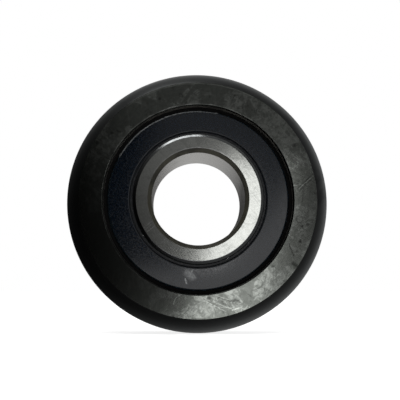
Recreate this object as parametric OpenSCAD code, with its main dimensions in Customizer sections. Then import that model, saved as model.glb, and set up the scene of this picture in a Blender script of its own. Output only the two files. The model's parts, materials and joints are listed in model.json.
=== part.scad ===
// Sealed track roller: a deep-groove ball bearing whose thick outer ring is itself the roller.
// Millimetres. The spin axis is Y, the origin is the roller's centre, and +Z is up.
// Every turned piece is drawn as a half section: x is its radius, y is its place along the spin axis.

/* [Rings] */
// Diameter of the bore that the stud or shaft goes through
bore_d = 40; // [39:0.5:41]
// Diameter of the roller over its tread
outer_d = 114.3; // [113:0.1:116]
// Width of the inner ring
inner_w = 28; // [27.8:0.1:28.6]
// Width of the outer ring
outer_w = 27.4; // [27.2:0.1:28]
// Chamfer at each end of the bore, along the radius and along the axis
bore_chamfer = 1.6; // [0.6:0.1:2]
// Radius of the inner ring's rounded outer corner
shoulder_round = 1.5; // [0.8:0.1:1.6]

/* [Tread] */
// Radius of the rounding that joins the tread to each side face
crown_r = 12.7; // [12:0.1:14]
// Distance from the middle of the tread to the centre of each rounding
crown_offset = 2.73; // [2.2:0.01:3.2]

/* [Ball row] */
// Diameter of each ball
ball_d = 15.08; // [14.8:0.02:15.2]
// Number of balls in the row
ball_count = 8; // [7:1:9]
// Diameter of the circle that the ball centres run on
pitch_d = 66.8; // [66.4:0.1:67.2]
// Radius of each raceway groove as a share of the ball's diameter
groove_share = 0.52; // [0.515:0.005:0.53]
// Running clearance between a ball and the bottom of a raceway
ball_play = 0.02; // [0.01:0.01:0.05]
// Diameter of the inner ring's shoulder, which the seal lips run on
inner_land_d = 56.4; // [56:0.1:56.6]
// Diameter of the outer ring's shoulder beside the raceway
outer_land_d = 77; // [76.8:0.1:77.4]

/* [Cage] */
// Thickness of the pressed sheet
cage_t = 1.2; // [0.8:0.1:1.3]
// Width of the cage band, measured along the radius
cage_band = 5; // [4.6:0.1:5.6]
// Clearance between a ball and its pocket
pocket_play = 0.2; // [0.1:0.05:0.25]
// Diameter of a rivet's shank
rivet_d = 2.4; // [2:0.1:2.6]
// Diameter of a rivet's head
rivet_head_d = 4.2; // [3.4:0.1:4.6]
// Height of a rivet's head
rivet_head_h = 0.9; // [0.6:0.1:1.2]

/* [Seals] */
// Inner diameter of the mouth that each seal sits in
seat_d = 81.2; // [81:0.1:81.6]
// Depth of the seat's shoulder below the outer ring's side face
seat_depth = 4.4; // [4.2:0.1:4.5]
// Thickness of the steel cap and of the steel backing plate
seal_sheet = 0.8; // [0.6:0.05:0.8]
// Angle by which the cap rises towards its inner edge
cap_rise = 6.6; // [5:0.1:8]
// Diameter of the cap's opening
cap_mouth_d = 58.6; // [58.4:0.1:59.2]
// Outer diameter of the cap's drawn wall
cap_wall_d = 78.2; // [78:0.1:78.4]
// Radial gap between each rubber lip and the shoulder that it runs on
lip_play = 0.05; // [0.02:0.01:0.1]

/* [Hidden] */
$fn = 144;
ball_names = [for (k = [1:ball_count]) str("ball_", k)];
rivet_names = [for (k = [1:ball_count]) str("cage_rivet_", k)];
turned_names = ["outer_ring", "inner_ring", "cage_front", "cage_rear"];
seal_names = [
    "seal_cap_front", "seal_rubber_front", "seal_plate_front",
    "seal_cap_rear", "seal_rubber_rear", "seal_plate_rear"
];

bore_r = bore_d / 2;
outer_r = outer_d / 2;
inner_half = inner_w / 2;
outer_half = outer_w / 2;
ball_r = ball_d / 2;
pitch_r = pitch_d / 2;
inner_land_r = inner_land_d / 2;
outer_land_r = outer_land_d / 2;
step_angle = 360 / ball_count;
first_angle = 90;

// The crown circles reach a little past the tread, so that the tread's cylinder cuts them off.
crown_reach = 0.02;
crown_centre_r = outer_r - crown_r + crown_reach;
face_edge_r = crown_centre_r + sqrt(pow(crown_r, 2) - pow(outer_half - crown_offset, 2));

groove_r = groove_share * ball_d;
inner_groove_centre = pitch_r - ball_r - ball_play + groove_r;
outer_groove_centre = pitch_r + ball_r + ball_play - groove_r;

pocket_r = ball_r + pocket_play;
cage_outside_r = pocket_r + cage_t;
rivet_fit = 0.02;
rivet_head_sphere_r = (pow(rivet_head_d / 2, 2) + pow(rivet_head_h, 2)) / (2 * rivet_head_h);

seat_r = seat_d / 2;
seat_y = outer_half - seat_depth;
mouth_chamfer = 0.5;
seal_groove_depth = 0.7;
seal_groove_w = seal_sheet + 0.1;

// The cap's sheet is drawn by its middle line: curled edge, shallow cone, shoulder, wall and flange.
half_sheet = seal_sheet / 2;
curl_bend = half_sheet + 0.1;
shoulder_bend = 0.7;
flange_bend = 0.6;
flange_y = seat_y + half_sheet;
wall_r = cap_wall_d / 2 - half_sheet;
shoulder_centre = [wall_r - shoulder_bend, flange_y + flange_bend + 0.1];
cone_angle = 90 - cap_rise;
cone_end = shoulder_centre + shoulder_bend * [cos(cone_angle), sin(cone_angle)];
curl_centre_r = cap_mouth_d / 2 + half_sheet + curl_bend;
curl_centre = [
    curl_centre_r,
    cone_end[1] + (cone_end[0] - curl_centre_r) * tan(cap_rise) - curl_bend / cos(cap_rise)
];
curl_leg = 0.3;
flange_end_r = seat_r + seal_groove_depth - 0.1;
bend_steps = 6;

// The rubber fills the cap down to the backing plate, and ends in three lips on the inner ring.
bond_gap = 0.02;
plate_y = seat_y + 0.1;
plate_inner_r = inner_land_r + 2.4;
plate_outer_r = wall_r - half_sheet - 0.15;
lip_count = 3;
lip_root = 0.68;
lip_tip_w = 0.2;
lip_depth = 0.6;
lip_top_y = curl_centre[1] + 0.6;
lip_pitch = (lip_top_y - plate_y) / (lip_count - 1 + lip_root);
lip_tip_r = inner_land_r + lip_play;

function arc(centre, radius, from, to) = [
    for (k = [0:bend_steps])
        let (a = from + (to - from) * k / bend_steps)
        centre + radius * [cos(a), sin(a)]
];
function direction(p, q) = (q - p) / norm(q - p);
function left_of(v) = [-v[1], v[0]];
function corner(before, after) = (before + after) / (1 + before * after);
function sideways(path, i) =
    let (
        last = len(path) - 1,
        before = left_of(direction(path[max(i - 1, 0)], path[max(i, 1)])),
        after = left_of(direction(path[min(i, last - 1)], path[min(i + 1, last)]))
    )
    corner(before, after);
function beside(path, offset) = [for (i = [0:len(path) - 1]) path[i] + offset * sideways(path, i)];
function backwards(list) = [for (i = [len(list) - 1:-1:0]) list[i]];
function sheet_outline(path, thickness) =
    concat(beside(path, thickness / 2), backwards(beside(path, -thickness / 2)));
function cap_underside_y(radius) =
    cone_end[1] + (cone_end[0] - radius) * tan(cap_rise) - (half_sheet + bond_gap) / cos(cap_rise);

cap_path = concat(
    [[curl_centre[0] - curl_bend, curl_centre[1] - curl_leg]],
    arc(curl_centre, curl_bend, 180, cone_angle),
    arc(shoulder_centre, shoulder_bend, cone_angle, 0),
    arc([wall_r + flange_bend, flange_y + flange_bend], flange_bend, 180, 270),
    [[flange_end_r, flange_y]]
);

// Turns a half section round the spin axis.
module turned() {
    rotate([-90, 0, 0])
        rotate_extrude()
            children();
}

// Puts its children at one ball's place in the row, or part of a step past it.
module at_step(k) {
    rotate([0, -(first_angle + (k - 1) * step_angle), 0])
        translate([pitch_r, 0, 0])
            children();
}

// Keeps what faces the front as it is drawn, towards +Y, by turning it over to -Y.
module facing(side) {
    if (side == "front")
        mirror([0, 1, 0])
            children();
    else
        children();
}

// Both seal seats: the shoulder, the undercut that holds the cap's flange and the chamfered mouth.
module seal_seat_section() {
    undercut_r = seat_r + seal_groove_depth;
    polygon([
        [outer_land_r - 1, seat_y],
        [undercut_r, seat_y],
        [undercut_r, seat_y + seal_groove_w],
        [seat_r, seat_y + seal_groove_w],
        [seat_r, outer_half - mouth_chamfer],
        [seat_r + 2 * mouth_chamfer, outer_half + mouth_chamfer],
        [outer_land_r - 1, outer_half + mouth_chamfer]
    ]);
}

module outer_ring() {
    color([0.24, 0.24, 0.22])
        turned()
            difference() {
                intersection() {
                    translate([outer_land_r, -outer_half])
                        square([outer_r - outer_land_r, outer_w]);
                    union() {
                        translate([outer_land_r - 1, -outer_half])
                            square([face_edge_r - outer_land_r + 1, outer_w]);
                        translate([outer_land_r, -crown_offset])
                            square([outer_r - outer_land_r + 1, 2 * crown_offset]);
                        for (side = [-1, 1])
                            translate([crown_centre_r, side * crown_offset])
                                circle(crown_r);
                    }
                }
                translate([outer_groove_centre, 0])
                    circle(groove_r);
                seal_seat_section();
                mirror([0, 1])
                    seal_seat_section();
            }
}

// The half of the inner ring's section beyond its middle, from the bore round to the shoulder.
function inner_half_outline() = concat(
    [
        [bore_r, inner_half - bore_chamfer],
        [bore_r + bore_chamfer, inner_half]
    ],
    arc(
        [inner_land_r - shoulder_round, inner_half - shoulder_round],
        shoulder_round, 90, 0
    )
);

module inner_ring() {
    rear_half = inner_half_outline();
    front_half = [for (p = backwards(rear_half)) [p[0], -p[1]]];
    color([0.78, 0.77, 0.74])
        turned()
            difference() {
                polygon(concat(rear_half, front_half));
                translate([inner_groove_centre, 0])
                    circle(groove_r);
            }
}

module ball(k) {
    color([0.8, 0.81, 0.82])
        at_step(k)
            sphere(ball_r);
}

// One pressed half of the ribbon cage: a flat band with a domed pocket over each ball.
module cage_half(side) {
    color([0.6, 0.58, 0.5])
        facing(side)
            difference() {
                intersection() {
                    turned()
                        translate([pitch_r - cage_band / 2, 0])
                            square([cage_band, cage_outside_r + 1]);
                    union() {
                        turned()
                            translate([pitch_r - cage_band, -1])
                                square([2 * cage_band, cage_t + 1]);
                        for (k = [1:ball_count])
                            at_step(k)
                                sphere(cage_outside_r);
                    }
                }
                for (k = [1:ball_count]) {
                    at_step(k)
                        sphere(pocket_r);
                    at_step(k + 0.5)
                        rotate([90, 0, 0])
                            cylinder(h = 4 * cage_t, r = rivet_d / 2 + rivet_fit, center = true);
                }
            }
}

module rivet_head() {
    intersection() {
        translate([0, 0, cage_t + rivet_head_h - rivet_head_sphere_r])
            sphere(rivet_head_sphere_r);
        translate([0, 0, cage_t])
            cylinder(h = rivet_head_h + 1, d = rivet_head_d + 1);
    }
}

// A rivet half a step past its ball, headed on both faces of the cage.
module cage_rivet(k) {
    color([0.7, 0.7, 0.7])
        at_step(k + 0.5)
            rotate([90, 0, 0])
                union() {
                    cylinder(h = 2 * cage_t + 0.2, d = rivet_d, center = true);
                    rivet_head();
                    mirror([0, 0, 1])
                        rivet_head();
                }
}

module seal_cap(side) {
    color([0.13, 0.14, 0.17])
        facing(side)
            turned()
                polygon(sheet_outline(cap_path, seal_sheet));
}

// Three points for each lip: its tip's outer and inner corners, and the root of the groove behind it.
function lip_points() = [
    for (i = [0:lip_count - 1])
        for (p = [
            [lip_tip_r, lip_top_y - i * lip_pitch],
            [lip_tip_r, lip_top_y - lip_tip_w - i * lip_pitch],
            [lip_tip_r + lip_depth, lip_top_y - lip_pitch * (i + lip_root)]
        ]) p
];

module seal_rubber(side) {
    leg_bottom_y = curl_centre[1] - curl_leg - bond_gap;
    leg_inner_r = curl_centre_r - curl_bend - half_sheet;
    leg_outer_r = leg_inner_r + seal_sheet + bond_gap;
    plate_top_y = plate_y + seal_sheet + bond_gap;
    body_outer_r = shoulder_centre[0];
    color([0.07, 0.07, 0.07])
        facing(side)
            turned()
                polygon(concat(
                    [
                        [leg_outer_r, cap_underside_y(leg_outer_r + curl_bend) - 0.1],
                        [leg_outer_r, leg_bottom_y],
                        [leg_inner_r - 0.15, leg_bottom_y],
                        [leg_inner_r - 0.15, lip_top_y - 0.3]
                    ],
                    lip_points(),
                    [
                        [plate_inner_r - bond_gap, plate_y],
                        [plate_inner_r - bond_gap, plate_top_y],
                        [body_outer_r, plate_top_y],
                        [body_outer_r, cap_underside_y(body_outer_r)],
                        [leg_outer_r + curl_bend, cap_underside_y(leg_outer_r + curl_bend)]
                    ]
                ));
}

module seal_plate(side) {
    color([0.55, 0.56, 0.58])
        facing(side)
            turned()
                translate([plate_inner_r, plate_y])
                    square([plate_outer_r - plate_inner_r, seal_sheet]);
}

outer_ring();
inner_ring();
cage_half("front");  // cage_front
cage_half("rear");  // cage_rear
for (k = [1:ball_count]) {
    ball(k);
    cage_rivet(k);
}
for (side = ["front", "rear"]) {
    seal_cap(side);
    seal_rubber(side);
    seal_plate(side);
}
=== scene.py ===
"""Looks of a sealed track roller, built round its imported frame.

The roller spins about Y and its centre is the origin. Meshes, finishes and the studio are in
metres, and the turned pieces' own sizes and the marks on them are in millimetres. The turned pieces
that show are worked out here as surfaces of revolution with broken edges. The pieces that are
closed in between the seals keep their frame shapes and get finishes of their own.
"""

import json
import logging
import math
from dataclasses import dataclass
from enum import Enum
from functools import reduce
from typing import Sequence, Union

import bpy
import numpy as np
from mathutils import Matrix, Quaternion, Vector


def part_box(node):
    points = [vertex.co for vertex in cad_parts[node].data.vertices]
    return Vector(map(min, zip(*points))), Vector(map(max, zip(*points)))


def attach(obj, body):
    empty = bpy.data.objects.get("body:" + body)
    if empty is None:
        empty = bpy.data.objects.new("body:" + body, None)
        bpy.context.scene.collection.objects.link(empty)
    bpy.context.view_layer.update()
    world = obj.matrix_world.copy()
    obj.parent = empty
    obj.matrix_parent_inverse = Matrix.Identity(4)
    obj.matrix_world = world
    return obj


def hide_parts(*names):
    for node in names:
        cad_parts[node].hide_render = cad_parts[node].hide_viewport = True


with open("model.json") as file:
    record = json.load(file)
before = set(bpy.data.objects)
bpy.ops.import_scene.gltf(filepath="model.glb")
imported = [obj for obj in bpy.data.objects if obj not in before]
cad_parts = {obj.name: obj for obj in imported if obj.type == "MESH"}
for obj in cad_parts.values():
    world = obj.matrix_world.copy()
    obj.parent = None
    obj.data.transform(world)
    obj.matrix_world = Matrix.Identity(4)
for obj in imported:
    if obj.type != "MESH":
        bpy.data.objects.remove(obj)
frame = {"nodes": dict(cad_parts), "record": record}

LOG = logging.getLogger("track_roller")
MM = 0.001
Colour = tuple[float, float, float]
Socket = bpy.types.NodeSocket
Value = Union[float, Socket]
WHITE: Colour = (1.0, 1.0, 1.0)
SHADE_BLACK: Colour = (0.0, 0.0, 0.0)
SCUFF_AND_GLINT: Colour = (0.24, 0.25, 0.25)
PALE: Colour = (0.9, 0.9, 0.9)


class Side(Enum):
    """The two sides of the roller, by the direction each one faces along Y."""

    FRONT = -1
    REAR = 1

    @property
    def word(self) -> str:
        """The side's name as the frame's nodes spell it."""
        return self.name.lower()


class Lay(Enum):
    """The fine lines that the last machining step left on steel."""

    NONE = "none"
    TURNED = "turned"


# ---------------------------------------------------------------- surfaces of revolution


@dataclass(frozen=True)
class Corner:
    """One corner of a half section.

    Attributes:
        radius: Distance from the spin axis, in millimetres.
        along: Place along the spin axis, in millimetres.
        zone: Name of the finish on the stretch that follows the corner.
        edge: Radius of the broken edge at the corner, in millimetres, or 0 on a smooth stretch.
        edge_zone: Name of the finish on the broken edge, or empty for that of the stretch.
    """

    radius: float
    along: float
    zone: str
    edge: float = 0.0
    edge_zone: str = ""


def arc_corners(
    centre: tuple[float, float], radius: float, start: float, end: float, steps: int, zone: str
) -> list[Corner]:
    """Corners evenly spaced along an arc of a half section.

    Args:
        centre: The arc's centre, as radius and place along the axis, in millimetres.
        radius: The arc's own radius in millimetres.
        start: First angle in degrees, measured from the outward radial direction towards +Y.
        end: Last angle in degrees.
        steps: Number of equal steps from start to end.
        zone: Name of the finish on the arc.

    Returns:
        One corner for each point, both ends included.
    """
    angles = np.radians(np.linspace(start, end, steps + 1))
    points = np.column_stack(
        [centre[0] + radius * np.cos(angles), centre[1] + radius * np.sin(angles)]
    )
    return [Corner(float(r), float(y), zone) for r, y in points]


def mirrored(corners: Sequence[Corner]) -> list[Corner]:
    """The other half of a symmetric half section, in the order that continues round the loop.

    Args:
        corners: The half on the +Y side, from the middle plane's inner end to its outer end.

    Returns:
        The same corners on the -Y side in reverse, each stretch keeping its own finish.
    """
    half = list(corners)
    zones = [c.zone for c in half]
    return [
        Corner(c.radius, -c.along, zones[max(k - 1, 0)], c.edge, c.edge_zone)
        for k, c in reversed(list(enumerate(half)))
    ]


class Section:
    """A closed half section with broken edges, ready to be turned round the spin axis."""

    EDGE_STEPS = 4

    def __init__(self, corners: Sequence[Corner]) -> None:
        """Keeps the corners in the order that leaves the material on the left.

        Args:
            corners: The closed outline, without a repeat of its first corner.
        """
        r = np.array([c.radius for c in corners])
        y = np.array([c.along for c in corners])
        area = 0.5 * float(np.sum(r * np.roll(y, -1) - np.roll(r, -1) * y))
        self.corners = list(corners)
        if area < 0:
            zones = [c.zone for c in self.corners]
            self.corners = [
                Corner(c.radius, c.along, zones[k - 1], c.edge, c.edge_zone)
                for k, c in reversed(list(enumerate(self.corners)))
            ]

    def points(self, wear: float) -> tuple[np.ndarray, np.ndarray, list[str]]:
        """The outline's points with each edge broken to its radius times wear.

        At a corner, the points are centre + s * f * n, where f is the edge radius, n turns evenly
        from the normal before the corner to the normal after it, and s is +1 on an outward corner
        and -1 on an inward one. The normals don't depend on wear.

        Args:
            wear: Multiplies every edge radius.

        Returns:
            Points and outward normals, both (n, 2) in millimetres, and the finish after each.
        """
        at = np.array([[c.radius, c.along] for c in self.corners])
        before = at - np.roll(at, 1, axis=0)
        after = np.roll(at, -1, axis=0) - at
        normal_in = outward(before)
        normal_out = outward(after)
        turn = before[:, 0] * after[:, 1] - before[:, 1] * after[:, 0]
        points, normals, zones = [], [], []
        for k, corner in enumerate(self.corners):
            n0, n1 = normal_in[k], normal_out[k]
            middle = (n0 + n1) / (1.0 + n0 @ n1)
            if corner.edge <= 0:
                points.append(at[k][None])
                normals.append((middle / np.linalg.norm(middle))[None])
                zones.append(corner.zone)
                continue
            share = np.linspace(0.0, 1.0, self.EDGE_STEPS + 1)[:, None]
            fan = turned_between(n0, n1, share)
            bend = math.copysign(corner.edge * wear, turn[k])
            points.append(at[k] - bend * middle + bend * fan)
            normals.append(fan)
            zones += [corner.edge_zone or corner.zone] * self.EDGE_STEPS + [corner.zone]
        return np.vstack(points), np.vstack(normals), zones


def outward(steps: np.ndarray) -> np.ndarray:
    """Unit normals on the right of each step of an outline, one row each."""
    unit = steps / np.linalg.norm(steps, axis=1, keepdims=True)
    return np.column_stack([unit[:, 1], -unit[:, 0]])


def turned_between(first: np.ndarray, last: np.ndarray, share: np.ndarray) -> np.ndarray:
    """Unit vectors that turn evenly from first to last.

    Args:
        first: Unit vector at share 0.
        last: Unit vector at share 1.
        share: Column of shares from 0 to 1.

    Returns:
        One row for each share: (first * sin((1 - s) * a) + last * sin(s * a)) / sin(a), where a is
        the angle between the two.
    """
    angle = math.acos(max(-1.0, min(1.0, float(first @ last))))
    if angle < 1e-6:
        return np.repeat(first[None], len(share), axis=0)
    return (first * np.sin((1 - share) * angle) + last * np.sin(share * angle)) / math.sin(angle)


@dataclass(frozen=True)
class EdgeWear:
    """How unevenly the edges of a turned piece were broken, round the piece.

    Attributes:
        seed: Seed of the waves.
        least: Smallest edge radius, as a share of the drawn one.
        most: Largest edge radius, as a share of the drawn one.
        waves: Number of waves that are added up.
    """

    seed: int
    least: float = 0.6
    most: float = 1.6
    waves: int = 14

    def share(self, angles: np.ndarray) -> np.ndarray:
        """The wear at each angle, from 0 at least to 1 at most.

        It is a sum of cosines of whole numbers of turns with falling height, so it closes on
        itself, and tanh of three times that sum is squeezed into 0 to 1.

        Args:
            angles: Angles round the spin axis, in radians.

        Returns:
            One share for each angle.
        """
        draw = np.random.default_rng(self.seed)
        turns = draw.integers(1, 40, self.waves)
        phases = draw.uniform(0, 2 * np.pi, self.waves)
        heights = draw.uniform(0.4, 1.0, self.waves) / np.sqrt(turns)
        waves = np.cos(angles[:, None] * turns + phases) @ heights / heights.sum()
        return 0.5 + 0.5 * np.tanh(3.0 * waves)


class Turning:
    """Turns half sections into closed meshes, with one material slot for each finish."""

    def __init__(self, around: int, wear: EdgeWear) -> None:
        """Sets how fine the turning is and how its edges are worn.

        Args:
            around: Number of faces round the piece.
            wear: The unevenness of its edges.
        """
        self.around = around
        self.wear = wear

    def build(
        self, name: str, corners: Sequence[Corner], finishes: dict[str, bpy.types.Material]
    ) -> bpy.types.Object:
        """Makes the piece.

        The surface is P(a, k) = (r cos a, y, r sin a), where (r, y) is point k of the section and
        its edges are broken by the wear at angle a.

        Args:
            name: The piece's name.
            corners: Its closed half section.
            finishes: Material for each zone name in the section.

        Returns:
            The new object, at the origin and linked to the scene.
        """
        section = Section(corners)
        fine, normals, zones = section.points(self.wear.least)
        worn, _, _ = section.points(self.wear.most)
        angles = np.linspace(0.0, 2.0 * np.pi, self.around, endpoint=False)
        share = self.wear.share(angles)[:, None, None]
        outline = (fine + share * (worn - fine)) * MM
        cos, sin = np.cos(angles)[:, None], np.sin(angles)[:, None]
        places = np.stack([outline[..., 0] * cos, outline[..., 1], outline[..., 0] * sin], -1)
        level = np.broadcast_to(normals[:, 1], outline.shape[:2])
        facing = np.stack([normals[:, 0] * cos, level, normals[:, 0] * sin], -1)
        count = len(zones)
        ring = np.arange(self.around)[:, None] * count
        next_ring = np.roll(ring, -1, axis=0)
        point = np.arange(count)[None]
        next_point = np.roll(point, -1, axis=1)
        quads = np.stack(
            [ring + point, ring + next_point, next_ring + next_point, next_ring + point], -1
        ).reshape(-1, 4)
        used = sorted(set(zones))
        slots = np.tile([used.index(z) for z in zones], self.around)
        mesh = bpy.data.meshes.new(name)
        mesh.from_pydata(places.reshape(-1, 3), [], quads.tolist())
        for zone in used:
            mesh.materials.append(finishes[zone])
        mesh.polygons.foreach_set("material_index", slots)
        mesh.polygons.foreach_set("use_smooth", np.ones(len(quads), bool))
        mesh.update()
        mesh.normals_split_custom_set_from_vertices(facing.reshape(-1, 3).tolist())
        return linked(bpy.data.objects.new(name, mesh))


def linked(made: bpy.types.Object) -> bpy.types.Object:
    """Links a new object to the scene and returns it."""
    bpy.context.scene.collection.objects.link(made)
    return made


# ---------------------------------------------------------------- finishes


class Tone(Enum):
    """Whether a mark is darker or brighter than the surface under it."""

    DARK = "dark"
    BRIGHT = "bright"


@dataclass(frozen=True)
class Mark:
    """One mark at its own place on a flat face, in millimetres: a scratch, a speck, a ring stain, a
    painted highlight.

    Attributes:
        start: X and Z where its middle line starts.
        end: X and Z where its middle line ends, the same as start for a speck.
        width: Distance from the middle line at which the mark has faded out.
        tone: Whether it is dark or bright.
        share: Its strength, from 0 to 1.
        ring: Radius of the ring for a ring stain, or 0.
    """

    start: tuple[float, float]
    end: tuple[float, float]
    width: float = 0.3
    tone: Tone = Tone.DARK
    share: float = 1.0
    ring: float = 0.0


def threshold(cover: float, bare: float = 0.62, reach: float = 0.3) -> float:
    """The level that a soft noise has to pass for a patch to show.

    Args:
        cover: How much of the surface the patches take, from 0 to 1.
        bare: The level at cover 0.
        reach: How far the level has fallen at cover 1.

    Returns:
        bare - reach * cover.
    """
    return bare - reach * cover


class NodeWriter:
    """Writes the nodes of one tree, a method for each kind of node.

    A value is a number or another node's output. What a method returns is the node's output.
    """

    tree: bpy.types.NodeTree
    MIXED_COLOURS = (0, 6, 7)
    MIXED_VALUES = (0, 2, 3)

    def put(self, socket: Socket, value: Union[Value, Colour]) -> None:
        """Links a socket to another, or sets its own value.

        Args:
            socket: The input to feed.
            value: An output to link to it, or a number, vector or colour.
        """
        if isinstance(value, bpy.types.NodeSocket):
            self.tree.links.new(value, socket)
        elif isinstance(value, (tuple, list)) and len(value) == 3 and socket.type == "RGBA":
            socket.default_value = (*value, 1.0)
        else:
            socket.default_value = value

    def node(self, kind: str, *values: Union[Value, Colour]) -> bpy.types.Node:
        """Makes a node.

        Args:
            kind: Name of the node's type.
            values: What its first inputs get, in their order.

        Returns:
            The node.
        """
        made = self.tree.nodes.new(kind)
        for socket, value in zip(made.inputs, values):
            self.put(socket, value)
        return made

    def split(self, vector: Socket) -> tuple[Socket, Socket, Socket]:
        """The three parts of a vector."""
        parts = self.node("ShaderNodeSeparateXYZ", vector).outputs
        return parts[0], parts[1], parts[2]

    def join(self, x: Value, y: Value, z: Value) -> Socket:
        """A vector from three values."""
        return self.node("ShaderNodeCombineXYZ", x, y, z).outputs[0]

    def math(self, operation: str, *values: Value) -> Socket:
        """One step of arithmetic.

        Args:
            operation: Name of the step.
            values: The one to three values that it works on.

        Returns:
            Its result.
        """
        step = self.node("ShaderNodeMath", *values)
        step.operation = operation
        return step.outputs[0]

    def add(self, *values: Value) -> Socket:
        """The sum of two or more values."""
        return reduce(lambda total, value: self.math("ADD", total, value), values)

    def times(self, *values: Value) -> Socket:
        """The product of two or more values."""
        return reduce(lambda total, value: self.math("MULTIPLY", total, value), values)

    def smooth(
        self, value: Value, low: float, high: float, at_low: float = 0.0, at_high: float = 1.0
    ) -> Socket:
        """A step with smooth ends.

        Args:
            value: The value that goes up the step.
            low: Where the step starts.
            high: Where it ends.
            at_low: The result up to low.
            at_high: The result from high on.

        Returns:
            at_low + (at_high - at_low) * t * t * (3 - 2 * t), where t is the share of the step.
        """
        step = self.node("ShaderNodeMapRange", value, low, high, at_low, at_high)
        step.interpolation_type = "SMOOTHSTEP"
        return step.outputs[0]

    def noise(
        self, vector: Socket, scale: float, detail: float = 3.0, roughness: float = 0.55,
        twist: float = 0.0,
    ) -> Socket:
        """Soft noise.

        Args:
            vector: Where it is read.
            scale: Number of features to a unit of the vector.
            detail: Number of finer layers on top of the first.
            roughness: Strength of each layer next to the one before it.
            twist: How far the pattern is swirled.

        Returns:
            The noise, from about 0 to 1.
        """
        made = self.node("ShaderNodeTexNoise", vector)
        made.inputs["Scale"].default_value = scale
        made.inputs["Detail"].default_value = detail
        made.inputs["Roughness"].default_value = roughness
        made.inputs["Distortion"].default_value = twist
        return made.outputs[0]

    def cells(self, vector: Socket, scale: float) -> tuple[Socket, Socket]:
        """Points that are scattered one to a cell.

        Args:
            vector: Where they are read.
            scale: Number of cells to a unit of the vector.

        Returns:
            The distance to the nearest point, and a value from 0 to 1 that is the point's own.
        """
        made = self.node("ShaderNodeTexVoronoi", vector)
        made.inputs["Scale"].default_value = scale
        return made.outputs["Distance"], self.split(made.outputs["Color"])[0]

    def blend(
        self, share: Value, first: Union[Colour, Socket], last: Union[Colour, Socket]
    ) -> Socket:
        """A mix of two colours.

        Args:
            share: The last colour's share.
            first: The colour at share 0.
            last: The colour at share 1.

        Returns:
            The mixed colour.
        """
        mix = self.node("ShaderNodeMix")
        mix.data_type = "RGBA"
        for place, value in zip(self.MIXED_COLOURS, (share, first, last)):
            self.put(mix.inputs[place], value)
        return mix.outputs[2]

    def between(self, share: Value, first: Value, last: Value) -> Socket:
        """A mix of two values.

        Args:
            share: The last value's share.
            first: The value at share 0.
            last: The value at share 1.

        Returns:
            The mixed value.
        """
        mix = self.node("ShaderNodeMix")
        mix.data_type = "FLOAT"
        for place, value in zip(self.MIXED_VALUES, (share, first, last)):
            self.put(mix.inputs[place], value)
        return mix.outputs[0]


class WorldShading(NodeWriter):
    """Writes the world's light as a level for each direction."""

    def __init__(self, name: str) -> None:
        """Starts an empty world.

        Args:
            name: The world's name.
        """
        world = bpy.data.worlds.new(name)
        bpy.context.scene.world = world
        world.use_nodes = True
        self.tree = world.node_tree
        self.tree.nodes.clear()
        self.way = self.split(self.node("ShaderNodeTexCoord").outputs["Generated"])

    def finish(self, level: Socket) -> None:
        """Makes the world plain white to the eye, and graded to the surfaces that it lights.

        Args:
            level: How bright the world is in each direction, where 1 is white.
        """
        graded = self.node("ShaderNodeBackground", WHITE, level)
        plain = self.node("ShaderNodeBackground", WHITE)
        seen = self.node("ShaderNodeLightPath").outputs["Is Camera Ray"]
        mix = self.node("ShaderNodeMixShader", seen, graded.outputs[0], plain.outputs[0])
        self.node("ShaderNodeOutputWorld", mix.outputs[0])


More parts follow.
